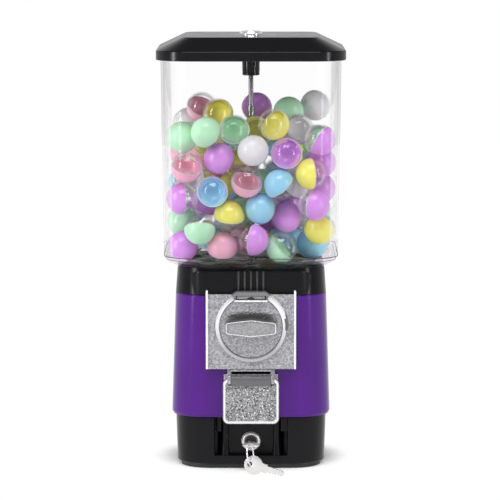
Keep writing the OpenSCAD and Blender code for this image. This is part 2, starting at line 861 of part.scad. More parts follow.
// The rest: of many places, each capsule takes the lowest that is free
function filled(placed, i = 0) =
    let (tries = 70,
         r = rands(-1, 1, 2 * tries + 3, 40 + i),
         edge = wall_limit(0, lowest_z),
         spots = [
             for (k = [0:tries - 1])
                 let (x = r[2 * k] * edge, y = r[2 * k + 1] * edge)
                 if (in_canister(x, y)) [x, y, lie(placed, 0, 1, 2, x, y, lowest_z)]
         ],
         low = min([for (s = spots) s[2]]),
         best = [for (s = spots) if (s[2] == low) s][0],
         hue = floor(abs(r[2 * tries]) * 5.99),
         ball = [best[0], best[1], best[2], hue, 90 + 80 * r[2 * tries + 1], 180 * r[2 * tries + 2]])
    low > fill_z ? placed : filled(concat(placed, [ball]), i + 1);

// One capsule half; side is 1 for the clear upper half and -1 for the coloured cup
module capsule_half(side) {
    difference() {
        sphere(capsule_r);
        sphere(capsule_r - capsule_wall);
        translate([-20, -20, side > 0 ? -40 + 0.05 : -0.05]) cube(40);
    }
}

module capsule_group(hue, side) {
    for (c = filled(front_placed()))
        if (c[3] == hue)
            translate([c[0], c[1], c[2]]) rotate([0, 0, c[5]]) rotate([0, c[4], 0]) capsule_half(side);
}

module cups(hue) {
    color(capsule_colors[hue]) capsule_group(hue, -1);
}

module caps(hue) {
    color([0.9, 0.93, 0.95, 0.3]) capsule_group(hue, 1);
}

base_tray();
foot_plate();
foot_screws();
base_lock_body();
base_lock_nut();
base_lock_plug();
base_lock_cam();
lock_key();
key_ring();
spare_key();
body_shell();
neck_housing();
neck_screws();
hopper_floor();
wheel_guard();
capsule_chute();
canister();
center_rod();
rod_sleeve();
rod_nut();
coin_plate();
dial_bezel();
coin_hood();
mech_frame();
mech_screws();
pawl_pin();
pawl_spring();
ratchet_pawl();
coin_handle();
handle_shaft();
coin_carrier();
ratchet_wheel();
drive_gear();
shaft_clip();
dispensing_wheel();
chute_frame();
door_hinge_pin();
chute_door();
lid_shell();
lid_boss();
lid_lock_body();
lid_lock_plug();
cups(PURPLE);  // purple_cups
cups(PINK);  // pink_cups
cups(MINT);  // mint_cups
cups(BLUE);  // blue_cups
cups(YELLOW);  // yellow_cups
cups(GREY);  // grey_cups
caps(PURPLE);  // purple_caps
caps(PINK);  // pink_caps
caps(MINT);  // mint_caps
caps(BLUE);  // blue_caps
caps(YELLOW);  // yellow_caps
caps(GREY);  // grey_caps
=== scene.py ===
"""Looks of the capsule vending machine: detailed meshes, materials, light and camera
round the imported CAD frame. Shapes are given in millimetres, and new_object turns them into
metres. The stage, the lights and the camera are in metres."""
import json
import math

import bmesh
import bpy
import numpy as np
from mathutils import Matrix, Vector, noise


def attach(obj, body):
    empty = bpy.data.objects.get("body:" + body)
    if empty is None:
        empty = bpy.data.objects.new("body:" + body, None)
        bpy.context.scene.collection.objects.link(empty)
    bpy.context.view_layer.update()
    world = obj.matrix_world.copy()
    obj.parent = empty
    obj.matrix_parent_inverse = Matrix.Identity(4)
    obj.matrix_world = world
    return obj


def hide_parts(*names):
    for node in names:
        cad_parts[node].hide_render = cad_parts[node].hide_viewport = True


MM = 0.001
TAU = 2 * math.pi

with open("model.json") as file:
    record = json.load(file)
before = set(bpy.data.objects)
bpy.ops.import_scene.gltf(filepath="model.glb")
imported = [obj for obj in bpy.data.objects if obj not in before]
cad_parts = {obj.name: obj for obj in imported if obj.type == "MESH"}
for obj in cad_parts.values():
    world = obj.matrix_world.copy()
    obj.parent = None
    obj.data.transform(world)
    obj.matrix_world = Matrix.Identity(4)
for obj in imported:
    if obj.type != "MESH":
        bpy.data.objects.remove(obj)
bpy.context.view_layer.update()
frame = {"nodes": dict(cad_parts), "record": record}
nodes = frame["nodes"]
scene = bpy.context.scene

PLATE_FRONT = -86.0     # y of the coin plate's face
SHAFT_Z = 148.0         # height of the handle's shaft
BASE_LOCK_Z = 27.0      # height of the base lock
HINGE_Y, HINGE_Z = -88.0, 94.0
COLLAR_BOTTOM = 179.6
COLLAR_BORE = 67.6      # radius
CAPSULE_R = 16.0
WALL = 1.2              # of a capsule
CUP_COLOURS = {
    "purple": (0.71, 0.31, 0.87),
    "pink": (1.0, 0.44, 0.59),
    "mint": (0.52, 0.93, 0.60),
    "blue": (0.33, 0.67, 1.0),
    "yellow": (1.0, 0.86, 0.17),
    "grey": (0.88, 0.86, 0.91),
}


# ---------------------------------------------------------------- mesh helpers

def new_object(name, verts, faces):
    """A new object at the origin, from vertices in millimetres."""
    mesh = bpy.data.meshes.new(name)
    mesh.from_pydata([Vector(v) * MM for v in verts], [], faces)
    mesh.update()
    obj = bpy.data.objects.new(name, mesh)
    scene.collection.objects.link(obj)
    return obj


def solid(name, verts, faces):
    """A new object whose faces are turned to look outwards."""
    obj = new_object(name, verts, faces)
    bm = bmesh.new()
    bm.from_mesh(obj.data)
    bmesh.ops.recalc_face_normals(bm, faces=bm.faces)
    bm.to_mesh(obj.data)
    bm.free()
    return obj


def shade(obj, angle=35.0, weighted=True):
    """Smooth shading with sharp edges kept; weighted also keeps flat faces flat."""
    mesh = obj.data
    mesh.polygons.foreach_set("use_smooth", [True] * len(mesh.polygons))
    mesh.set_sharp_from_angle(angle=math.radians(angle))
    if weighted:
        mod = obj.modifiers.new("weighted", "WEIGHTED_NORMAL")
        mod.keep_sharp = True


def bevel(obj, width, segments=2, angle=30.0):
    """Rounds the edges sharper than an angle."""
    mod = obj.modifiers.new("bevel", "BEVEL")
    mod.width = width * MM
    mod.segments = segments
    mod.limit_method = "ANGLE"
    mod.angle_limit = math.radians(angle)
    mod.use_clamp_overlap = True


def settle(obj):
    """Applies all modifiers to the mesh."""
    graph = bpy.context.evaluated_depsgraph_get()
    mesh = bpy.data.meshes.new_from_object(obj.evaluated_get(graph))
    obj.modifiers.clear()
    old = obj.data
    obj.data = mesh
    bpy.data.meshes.remove(old)


def boolean(obj, cutters, operation="DIFFERENCE"):
    """Cuts with the cutters, or joins them on, and removes them."""
    for cutter in cutters:
        mod = obj.modifiers.new("cut", "BOOLEAN")
        mod.operation = operation
        mod.solver = "EXACT"
        mod.object = cutter
    settle(obj)
    for cutter in cutters:
        bpy.data.objects.remove(cutter)


def join(name, parts):
    """One object from several, each already shaped; keeps each part's materials."""
    bm = bmesh.new()
    slots = []
    for part in parts:
        if part.modifiers:
            settle(part)
        offset = len(slots)
        slots += [s.material for s in part.material_slots]
        count = len(bm.faces)
        bm.from_mesh(part.data)
        bm.faces.ensure_lookup_table()
        for face in bm.faces[count:]:
            face.material_index += offset
    mesh = bpy.data.meshes.new(name)
    bm.to_mesh(mesh)
    bm.free()
    for material in slots:
        mesh.materials.append(material)
    for part in parts:
        bpy.data.objects.remove(part)
    obj = bpy.data.objects.new(name, mesh)
    scene.collection.objects.link(obj)
    return obj


def rounded(points, closed, steps=5):
    """Rounds the corners of a path. A point is (u, v, fillet, *more), and more is carried along."""
    out = []
    n = len(points)
    for i, p in enumerate(points):
        here = np.array(p[:2], float)
        more = np.array(p[3:], float)
        if p[2] <= 0 or (not closed and i in (0, n - 1)):
            out.append((*here, *more))
            continue
        before, after = points[i - 1], points[(i + 1) % n]
        to_a = np.array(before[:2], float) - here
        to_b = np.array(after[:2], float) - here
        la, lb = np.linalg.norm(to_a), np.linalg.norm(to_b)
        to_a, to_b = to_a / la, to_b / lb
        turn = math.acos(max(-1, min(1, float(to_a @ to_b))))
        cut = min(p[2] / math.tan(turn / 2), 0.49 * la, 0.49 * lb)
        radius = cut * math.tan(turn / 2)
        middle = to_a + to_b
        centre = here + middle / np.linalg.norm(middle) * math.hypot(radius, cut)
        start = here + to_a * cut - centre
        sweep = math.pi - turn
        side = np.sign(to_a[0] * to_b[1] - to_a[1] * to_b[0])
        mix_a = more + (np.array(before[3:], float) - more) * cut / la
        mix_b = more + (np.array(after[3:], float) - more) * cut / lb
        for k in range(steps + 1):
            t = k / steps
            a = -side * sweep * t
            c, s = math.cos(a), math.sin(a)
            q = centre + np.array([start[0] * c - start[1] * s, start[0] * s + start[1] * c])
            out.append((*q, *(mix_a * (1 - t) + mix_b * t)))
    return out


def square_ring(half, radius, z, steps=14):
    """The points of a square with round corners, lying at height z."""
    pts = []
    for q in range(4):
        sx = 1 if q in (0, 3) else -1
        sy = 1 if q < 2 else -1
        for k in range(steps + 1):
            a = math.radians(90 * q + 90 * k / steps)
            pts.append((sx * (half - radius) + radius * math.cos(a),
                        sy * (half - radius) + radius * math.sin(a), z))
    return pts


def loft(name, rings, closed=False):
    """A skin through rings of equal count; closed joins the last ring to the first."""
    n = len(rings[0])
    verts = [p for ring in rings for p in ring]
    faces = []
    count = len(rings) if closed else len(rings) - 1
    for i in range(count):
        a0, b0 = i * n, ((i + 1) % len(rings)) * n
        for k in range(n):
            k2 = (k + 1) % n
            faces.append((a0 + k, a0 + k2, b0 + k2, b0 + k))
    if not closed:
        faces.append(tuple(range(n - 1, -1, -1)))
        faces.append(tuple((len(rings) - 1) * n + k for k in range(n)))
    return solid(name, verts, faces)


def square_loft(name, profile, steps=14):
    """profile: (half width, z, fillet, corner radius) from one end to the other."""
    path = rounded(profile, False)
    return loft(name, [square_ring(h, max(r, 0.5), z, steps) for h, z, r in path])


def stack(name, layers, lift=0.0):
    """A solid through layers of (outline of (x, z), y), all raised by lift."""
    return loft(name, [[(x, y, lift + z) for x, z in path] for path, y in layers])


def scaled(path, share_x, share_z, middle=0.0):
    """An outline of (x, z) scaled about x = 0 and z = middle."""
    return [(x * share_x, middle + (z - middle) * share_z) for x, z in path]


def lathe(name, profile, steps=64, closed=False):
    """Turns a profile of (radius, z, fillet) round +Z; a radius of 0 closes the end."""
    verts, faces, rows = [], [], []
    for r, z in rounded(profile, closed, 4):
        if r < 1e-6:
            rows.append([len(verts)])
            verts.append((0, 0, z))
        else:
            rows.append(list(range(len(verts), len(verts) + steps)))
            for k in range(steps):
                a = TAU * k / steps
                verts.append((r * math.cos(a), r * math.sin(a), z))
    following = rows[1:] + (rows[:1] if closed else [])
    for a, b in zip(rows, following):
        for k in range(steps):
            k2 = (k + 1) % steps
            if len(a) == 1 and len(b) == 1:
                break
            if len(a) == 1:
                faces.append((a[0], b[k2], b[k]))
            elif len(b) == 1:
                faces.append((a[k], a[k2], b[0]))
            else:
                faces.append((a[k], a[k2], b[k2], b[k]))
    return solid(name, verts, faces)


def cylinder(radius, low, high, steps=48):
    """A cutter round +Z between two heights."""
    return lathe("cut", [(0, low, 0), (radius, low, 0), (radius, high, 0), (0, high, 0)], steps)


def place(obj, matrix):
    """Moves a new piece's vertices, so that its object stays at the origin."""
    obj.data.transform(matrix)
    return obj


def shift(x, y, z):
    """A move given in millimetres."""
    return Matrix.Translation(Vector((x, y, z)) * MM)


def to_front(y, z):
    """A lathe's +Z turned towards the front, -Y, at a point of the middle plane."""
    return shift(0, y, z) @ Matrix.Rotation(math.pi / 2, 4, "X")


def between(name, near, far):
    """A solid between two outlines of equal count."""
    n = len(near)
    faces = [tuple(range(n)), tuple(range(2 * n - 1, n - 1, -1))]
    faces += [(k, k + n, (k + 1) % n + n, (k + 1) % n) for k in range(n)]
    return solid(name, near + far, faces)


def prism(name, outline, y_front, y_back):
    """An outline of (x, z) points thickened along Y."""
    return between(name, [(x, y_front, z) for x, z in outline],
                   [(x, y_back, z) for x, z in outline])


def plan_prism(name, outline, z0, z1):
    """An outline of (x, y) points thickened along Z."""
    return between(name, [(x, y, z0) for x, y in outline], [(x, y, z1) for x, y in outline])


def box_piece(name, low, high):
    """A box from its lowest to its highest corner."""
    return plan_prism(name, [(low[0], low[1]), (high[0], low[1]), (high[0], high[1]),
                             (low[0], high[1])], low[2], high[2])


def rect(x0, z0, x1, z1, fillet=0.0, steps=6):
    """The outline of a rectangle with round corners."""
    pts = [(x0, z0, fillet), (x1, z0, fillet), (x1, z1, fillet), (x0, z1, fillet)]
    return rounded(pts, True, steps)


def tube(name, points, radius, sides, closed=False):
    """A round wire through points."""
    pts = [Vector(p) for p in points]
    n = len(pts)
    verts, faces = [], []
    normal = None
    for i, p in enumerate(pts):
        before = pts[i - 1] if i or closed else p
        after = pts[(i + 1) % n] if i < n - 1 or closed else p
        along = (after - before).normalized()
        if normal is None:
            normal = along.orthogonal().normalized()
        normal = (normal - along * normal.dot(along)).normalized()
        side = along.cross(normal)
        for k in range(sides):
            a = TAU * k / sides
            verts.append(p + (normal * math.cos(a) + side * math.sin(a)) * radius)
    for i in range(n if closed else n - 1):
        for k in range(sides):
            k2, j = (k + 1) % sides, (i + 1) % n
            faces.append((i * sides + k, i * sides + k2, j * sides + k2, j * sides + k))
    if not closed:
        faces.append(tuple(range(sides - 1, -1, -1)))
        faces.append(tuple((n - 1) * sides + k for k in range(sides)))
    return solid(name, verts, faces)


def hammer(x, z, period, seed):
    """Height, from -1 to 1, of a cast hammered surface."""
    p = Vector((x / period, seed, z / period))
    q = Vector((x / period * 2.3, seed + 7.0, z / period * 2.3))
    return max(-1.0, min(1.0, 1.5 * noise.noise(p) + 0.7 * noise.noise(q)))


def finish_piece(obj, body, slot, replaced):
    """Ties a piece to its body and hides the CAD node it replaces; without a material it gets its
    slot's.
    """
    if not obj.data.materials:
        obj.data.materials.append(MATERIALS[slot])
    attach(obj, body)
    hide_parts(replaced)


# ---------------------------------------------------------------- materials

class Shader:
    """The node tree of a material or a world, with short ways to add nodes."""

    def __init__(self, owner, output="ShaderNodeOutputMaterial"):
        owner.use_nodes = True
        self.owner = owner
        self.tree = owner.node_tree
        self.tree.nodes.clear()
        self.out = self.add(output)

    def add(self, kind, **values):
        node = self.tree.nodes.new(kind)
        for key, value in values.items():
            setattr(node, key, value)
        return node

    def link(self, a, b):
        self.tree.links.new(a, b)

    def show(self, shader_node):
        self.link(shader_node.outputs[0], self.out.inputs["Surface"])

    def math(self, operation, a, b):
        node = self.add("ShaderNodeMath", operation=operation)
        self.link(a, node.inputs[0])
        self.link(b, node.inputs[1])
        return node.outputs[0]

    def axes(self, space):
        coords = self.add("ShaderNodeTexCoord")
        split = self.add("ShaderNodeSeparateXYZ")
        self.link(coords.outputs[space], split.inputs[0])
        return split.outputs

    def mix(self, share, first, second):
        node = self.add("ShaderNodeMixShader")
        self.link(share, node.inputs["Fac"])
        self.link(first.outputs[0], node.inputs[1])
        self.link(second.outputs[0], node.inputs[2])
        return node

    def noise(self, scale, detail, roughness=0.5, stretch=None):
        coords = self.add("ShaderNodeTexCoord")
        tex = self.add("ShaderNodeTexNoise")
        tex.inputs["Scale"].default_value = scale
        tex.inputs["Detail"].default_value = detail
        tex.inputs["Roughness"].default_value = roughness
        source = coords.outputs["Object"]
        if stretch:
            mapping = self.add("ShaderNodeMapping")
            mapping.inputs["Scale"].default_value = stretch
            self.link(source, mapping.inputs["Vector"])
            source = mapping.outputs["Vector"]
        self.link(source, tex.inputs["Vector"])
        return tex.outputs["Fac"]

    def remap(self, source, low, high, start=0.3, end=0.7, kind="LINEAR"):
        node = self.add("ShaderNodeMapRange", interpolation_type=kind)
        node.inputs["From Min"].default_value = start
        node.inputs["From Max"].default_value = end
        node.inputs["To Min"].default_value = low
        node.inputs["To Max"].default_value = high
        self.link(source, node.inputs["Value"])
        return node.outputs["Result"]

    def blend(self, source, low, high, start=0.3, end=0.7):
        ramp = self.add("ShaderNodeValToRGB")
        ramp.color_ramp.elements[0].position = start
        ramp.color_ramp.elements[1].position = end
        ramp.color_ramp.elements[0].color = (*low, 1)
        ramp.color_ramp.elements[1].color = (*high, 1)
        self.link(source, ramp.inputs["Fac"])
        return ramp.outputs["Color"]

    def bump(self, source, strength, distance):
        node = self.add("ShaderNodeBump")
        node.inputs["Strength"].default_value = strength
        node.inputs["Distance"].default_value = distance
        self.link(source, node.inputs["Height"])
        return node.outputs["Normal"]


def principled(shader, **values):
    """A Principled node as the tree's surface; a value is a number or another node's output."""
    node = shader.add("ShaderNodeBsdfPrincipled")
    for key, value in values.items():
        socket = node.inputs[key.replace("_", " ")]
        if isinstance(value, bpy.types.NodeSocket):
            shader.link(value, socket)
        else:
            socket.default_value = value
    shader.show(node)
    return node


def plastic(name, colour, rough, peel=0.02, scale=900.0, specular=0.5, glow=0.0):
    """Moulded plastic: slight colour drift, uneven gloss and a faint orange peel."""
    s = Shader(bpy.data.materials.new(name))
    drift = 0.08
    dark = tuple(c * (1 - drift) for c in colour)
    light = tuple(min(1, c * (1 + drift)) for c in colour)
    tone = s.blend(s.noise(14.0, 2.0), dark, light)
    gloss = s.remap(s.noise(60.0, 4.0), rough * 0.8, rough * 1.25)
    normal = s.bump(s.noise(scale, 2.0), peel, 0.0002)
    node = principled(s, Base_Color=tone, Roughness=gloss, Normal=normal,
                      Specular_IOR_Level=specular)
    if glow:
        node.inputs["Subsurface Weight"].default_value = glow
        node.inputs["Subsurface Radius"].default_value = (1, 1, 1)
        node.inputs["Subsurface Scale"].default_value = 0.004
    return s.owner


def metal(name, colour, rough, grain, scale, stretch=None, drift=0.08, metallic=1.0, speck=40.0):
    """Metal with uneven polish and fine grain. Its tone darkens by up to drift, and speck is the
    scale of that noise."""
    s = Shader(bpy.data.materials.new(name))
    dark = tuple(c * (1 - drift) for c in colour)
    tone = s.blend(s.noise(speck, 4.0), dark, colour)
    gloss = s.remap(s.noise(120.0, 5.0, 0.6, stretch), rough * 0.7, rough * 1.3)
    normal = s.bump(s.noise(scale, 4.0, 0.6, stretch), grain, 0.0003)
    principled(s, Base_Color=tone, Metallic=metallic, Roughness=gloss, Normal=normal)
    return s.owner


def clear(name, tint, rim, mirror, rough, edge):
    """Thin clear plastic. It shows what is behind it, in tint face on and in rim edge on, and
    its share of reflection goes from mirror, face on, to edge."""
    s = Shader(bpy.data.materials.new(name))
    through = s.add("ShaderNodeBsdfTransparent")
    gloss = s.add("ShaderNodeBsdfGlossy")
    gloss.inputs["Color"].default_value = (1, 1, 1, 1)
    gloss.inputs["Roughness"].default_value = rough
    facing = s.add("ShaderNodeLayerWeight")
    facing.inputs["Blend"].default_value = 0.2
    s.link(s.blend(facing.outputs["Facing"], tint, rim, 0.35, 1.0), through.inputs["Color"])
    share = s.remap(facing.outputs["Fresnel"], mirror, edge, 0.0, 1.0)
    smudge = s.remap(s.noise(25.0, 3.0), 0.85, 1.15)
    s.show(s.mix(s.math("MULTIPLY", share, smudge), through, gloss))
    return s.owner


def bottom_shaded_ring(name, bright, shaded_tone, low, high):
    """Polished metal whose colour is painted darker towards the bottom, as shade: from bright at
    height high to darker at height low, in metres.
    """
    s = Shader(bpy.data.materials.new(name))
    height = s.remap(s.axes("Object")["Z"], 0.0, 1.0, low, high)
    tone = s.blend(height, shaded_tone, bright, 0.0, 1.0)
    gloss = s.remap(s.noise(120.0, 5.0, 0.6), 0.12, 0.25)
    normal = s.bump(s.noise(900.0, 4.0, 0.6), 0.05, 0.0003)
    principled(s, Base_Color=tone, Metallic=0.55, Roughness=gloss, Normal=normal)
    return s.owner


MATERIALS = {
    "cabinet_purple": plastic("purple_gloss", (0.077, 0.006, 0.213), 0.12, 0.015, specular=0.3),
    "black_gloss": plastic("black_gloss", (0.006, 0.006, 0.0075), 0.17, 0.012, specular=0.3),
    "black_satin": plastic("black_satin", (0.0042, 0.0042, 0.0055), 0.24, specular=0.2),
    # Lighter than the collar's black, as a painted highlight on the ribs; the strong specular is
    # real gloss.
    "rib_painted_highlight": plastic("rib_painted_highlight", (0.018, 0.018, 0.019), 0.3, specular=1.0),
    "inner_black": plastic("inner_black", (0.02, 0.02, 0.022), 0.5, 0.08, 500.0),
    "wheel_plastic": plastic("wheel_olive", (0.22, 0.21, 0.16), 0.3, 0.03),
    "gear_plastic": plastic("nylon", (0.68, 0.66, 0.56), 0.45, 0.05),
    "clear_canister": clear("clear_styrene", (1.0, 1.0, 1.0), (0.88, 0.85, 0.86),
                            0.002, 0.02, 0.42),
    "clear_cap": clear("clear_cap", (0.995, 0.995, 0.995), (0.93, 0.93, 0.93), 0.02, 0.05, 0.4),
    # Opaque white for the clear caps' rims: a painted highlight.
    "cap_rim": plastic("cap_rim", (0.95, 0.95, 0.95), 0.15, 0.01),
    # Painted shade: grey beads along the canister's bends and rim.
    "bend_shade_painted": clear("bend_shade_painted", (0.3, 0.29, 0.29), (0.2, 0.2, 0.2), 0.08, 0.1, 0.5),
    "die_cast": metal("hammered_cast", (0.60, 0.60, 0.64), 0.26, 0.8, 700.0,
                      drift=0.62, metallic=0.55, speck=520.0),
    "flat_cast": metal("flat_cast", (0.48, 0.48, 0.495), 0.3, 0.35, 900.0,
                       drift=0.4, metallic=0.55, speck=520.0),
    "hinge_cast": metal("hinge_cast", (0.17, 0.17, 0.175), 0.3, 0.35, 900.0, metallic=0.55),
    "hood_cast": metal("hood_cast", (0.26, 0.26, 0.27), 0.3, 0.35, 900.0, metallic=0.55),
    # Dark metal painted as shade into hollows, under edges and inside the hood's window.
    "painted_shade_cast": metal("painted_shade_cast", (0.11, 0.11, 0.11), 0.4, 0.6, 900.0, metallic=0.3),
    "bright_cast": metal("bright_cast", (0.95, 0.95, 0.96), 0.25, 0.05, 700.0, metallic=0.35),
    "door_cast": metal("door_cast", (0.62, 0.62, 0.64), 0.22, 0.3, 700.0,
                       drift=0.95, metallic=0.6, speck=620.0),
    "polished": metal("polished_chrome", (0.93, 0.93, 0.95), 0.14, 0.02, 900.0, metallic=0.6),
    # The bezel's colour is painted darker towards its bottom, as shade.
    "bezel_metal": bottom_shaded_ring("bezel_metal", (0.93, 0.93, 0.94), (0.50, 0.50, 0.52), 0.124, 0.152),
    "lock_face": metal("lock_face", (0.10, 0.08, 0.075), 0.3, 0.05, 900.0),
    "nickel_key": metal("nickel_key", (0.78, 0.77, 0.76), 0.3, 0.05, 800.0, metallic=0.6),
    "steel": metal("plated_steel", (0.30, 0.31, 0.32), 0.3, 0.06, 700.0, (1, 1, 8)),
    "brass_part": metal("brass", (0.60, 0.46, 0.20), 0.3, 0.06, 600.0),
}
for hue, colour in CUP_COLOURS.items():
    MATERIALS["cup_" + hue] = plastic("cup_" + hue, colour, 0.2, glow=0.5)


# ---------------------------------------------------------------- lid

def make_lid():
    lid = square_loft("lid_cover", [
        (66, 437.3, 0, 13), (92.6, 425.6, 3, 32), (93.6, 417.5, 0, 32.5),
        (94.1, 417, 0.4, 33), (96.25, 417, 0.8, 35), (96.25, 426.4, 1.0, 35),
        (95.3, 427.1, 0.5, 34.4), (69.2, 439.6, 3.0, 16), (68.0, 440.0, 0, 15),
    ], steps=18)
    boolean(lid, [cylinder(8.6, 430, 450)])
    shade(lid, 30)
    finish_piece(lid, "lid", "black_gloss", "lid_shell")

    boss = lathe("lid_post", [
        (2.7, 424, 0), (2.7, 398.6, 0), (3.2, 398, 0.3), (8.2, 398, 0.5), (9.0, 398.9, 0.5),
        (9.0, 400.6, 0.2), (8.55, 400.9, 0.2), (8.55, 401.5, 0.2), (9.0, 401.8, 0.2),
        (9.2, 428, 2), (16, 430, 1), (16, 437.2, 0), (8.6, 437.2, 0), (8.6, 424, 0)
    ], 56, closed=True)
    shade(boss)
    finish_piece(boss, "lid", "black_gloss", "lid_boss")

    lock = lathe("lid_lock_bezel", [
        (6.1, 427, 0), (8.5, 427, 0), (8.5, 440, 0), (12, 440, 0.1), (12, 441.2, 0.6),
        (10.6, 443.6, 1.4), (7.2, 443.9, 0.5), (6.6, 442.9, 0.3), (6.1, 442.6, 0)
    ], 64, closed=True)
    shade(lock)
    finish_piece(lock, "lid", "polished", "lid_lock_body")


# ---------------------------------------------------------------- canister

def make_canister():
    """Clear walls, with thin grey beads where they bend and along the rim: painted shade for the
    dark lines that the clear wall shows at its bends and edge.
    """
    wall, foot, rim = 2.2, 89.0, 91.75
    profile = [
        (66.3, 207.0, 0, 60), (73.6, 207.0, 1.5, 27), (79.0, 208.4, 3, 30), (84.8, 211.6, 4, 33),
        (foot, 217.2, 0.9, 35), (rim, 420.4, 0.5, 35), (rim, 421.0, 0.3, 35),
        (rim - wall, 421.0, 0.3, 33), (foot - wall, 218.2, 2, 33), (83.3, 213.6, 3, 31),
        (78.0, 210.3, 3, 28), (73.0, 209.2, 2, 26), (66.3, 209.2, 0, 60),
    ]
    rings = [square_ring(h, min(r, h - 0.2), z, 18) for h, z, r in rounded(profile, True)]
    can = loft("clear_canister", rings, closed=True)
    shade(can, 28)
    settle(can)
    can.data.materials.append(MATERIALS["clear_canister"])
    beads = [can]
    # Beads of painted shade along the bends and the rim.
    for half, corner, z, thick in ((88.6, 35, 217.4, 0.42), (86.6, 33, 214.2, 0.25),
                                   (91.4, 35, 420.5, 0.3)):
        bead = tube("bead", square_ring(half, corner, z, 18), thick, 8, closed=True)
        shade(bead, 60, weighted=False)
        bead.data.materials.append(MATERIALS["bend_shade_painted"])
        beads.append(bead)
    can = join("clear_canister", beads)
    finish_piece(can, "cabinet", "clear_canister", "canister")


# ---------------------------------------------------------------- capsules

INNER_R = CAPSULE_R - WALL
# How far the centroid of a hollow half ball lies from the ball's centre.
SHELL_COM = 0.375 * (CAPSULE_R ** 4 - INNER_R ** 4) / (CAPSULE_R ** 3 - INNER_R ** 3)


def islands(obj):
    """Volume centroid of each loose solid of a CAD node, in millimetres."""
    mesh = obj.data
    mesh.calc_loop_triangles()
    co = np.zeros(len(mesh.vertices) * 3)
    mesh.vertices.foreach_get("co", co)
    co = co.reshape(-1, 3) / MM
    keys, index = np.unique(np.round(co, 3), axis=0, return_inverse=True)
    index = index.ravel()
    tri = np.zeros(len(mesh.loop_triangles) * 3, int)
    mesh.loop_triangles.foreach_get("vertices", tri)
    tri = index[tri.reshape(-1, 3)]
    parent = np.arange(len(keys))
    changed = True
    while changed:
        low = parent[tri].min(axis=1)
        before = parent.copy()
        for k in range(3):
            np.minimum.at(parent, tri[:, k], low)
        parent = parent[parent]
        changed = bool((parent != before).any())
    label = parent[tri[:, 0]]
    a, b, c = keys[tri[:, 0]], keys[tri[:, 1]], keys[tri[:, 2]]
    volume = np.einsum("ij,ij->i", a, np.cross(b, c)) / 6
    centre = (a + b + c) / 4
    found = []
    for name in np.unique(label):
        mine = label == name
        total = volume[mine].sum()
        found.append((volume[mine, None] * centre[mine]).sum(axis=0) / total)
    return found


def capsule_places(hue):
    """(centre, direction of the clear half) of each capsule, from its two CAD shells' centroids.
    A cup's cap is the one whose centroid lies twice SHELL_COM away."""
    cups, caps = islands(nodes[hue + "_cups"]), islands(nodes[hue + "_caps"])
    places = []
    for cup in cups:
        gaps = [abs(np.linalg.norm(cap - cup) - 2 * SHELL_COM) for cap in caps]
        cap = caps[int(np.argmin(gaps))]
        places.append((Vector((cup + cap) / 2), Vector(cap - cup).normalized()))
    return places


def half_profile(sign):
    """Profile of a capsule half from the pole to the rim and back, as (radius, z, fillet).
    sign is 1 for a cap and -1 for a cup."""
    steps = 14
    lip = 1.6

    def arc(radius, rim_z, order):
        start = math.asin(rim_z / radius)
        turns = [math.pi / 2 - (math.pi / 2 - start) * k / steps for k in order]
        return [(radius * math.cos(a), radius * math.sin(a), 0) for a in turns]

    pts = [(0, CAPSULE_R, 0), *arc(CAPSULE_R, 1.2, range(1, steps + 1)),
           (CAPSULE_R - 0.02, 0.1, 0), (CAPSULE_R - lip, 0.1, 0),
           *arc(INNER_R, 0.6, range(steps, 0, -1)), (0, INNER_R, 0)]
    return [(r, z * sign, f) for r, z, f in pts]


def cap_lip(centre, axis):
    """The thick rim of a clear cap, just above the cup's edge, in opaque white: a painted highlight
    for the bright line of the clear edge.
    """
    radius, above = 15.45, 0.55
    side = axis.orthogonal().normalized()
    across = axis.cross(side)
    points = [centre + axis * above + (side * math.cos(a) + across * math.sin(a)) * radius
              for a in np.linspace(0, TAU, 48, endpoint=False)]
    lip = tube("lip", points, 0.3, 6, closed=True)
    shade(lip, 60, weighted=False)
    lip.data.materials.append(MATERIALS["cap_rim"])
    return lip


def make_capsules():
    for hue in CUP_COLOURS:
        places = capsule_places(hue)
        for kind, sign in (("cups", -1), ("caps", 1)):
            template = lathe("template", half_profile(sign), 40)
            rows = np.array([v.co for v in template.data.vertices]) / MM
            polys = [tuple(p.vertices) for p in template.data.polygons]
            verts, faces = [], []
            for centre, axis in places:
                turn = axis.to_track_quat("Z", "Y").to_matrix().to_4x4()
                turn = np.array(Matrix.Translation(centre) @ turn)
                first = len(verts)
                moved = rows @ turn[:3, :3].T + turn[:3, 3]
                verts += [tuple(v) for v in moved]
                faces += [tuple(first + i for i in p) for p in polys]
            bpy.data.objects.remove(template)
            slot = "cup_" + hue if kind == "cups" else "clear_cap"
            name = f"{hue}_capsule_{kind}"
            obj = solid(name, verts, faces)
            shade(obj, 40, weighted=False)
            obj.data.materials.append(MATERIALS[slot])
            if kind == "caps":
                lips = [cap_lip(centre, axis) for centre, axis in places]
                obj = join(name, [obj, *lips])
            finish_piece(obj, "cabinet", slot, f"{hue}_{kind}")


# ---------------------------------------------------------------- neck collar and purple shell

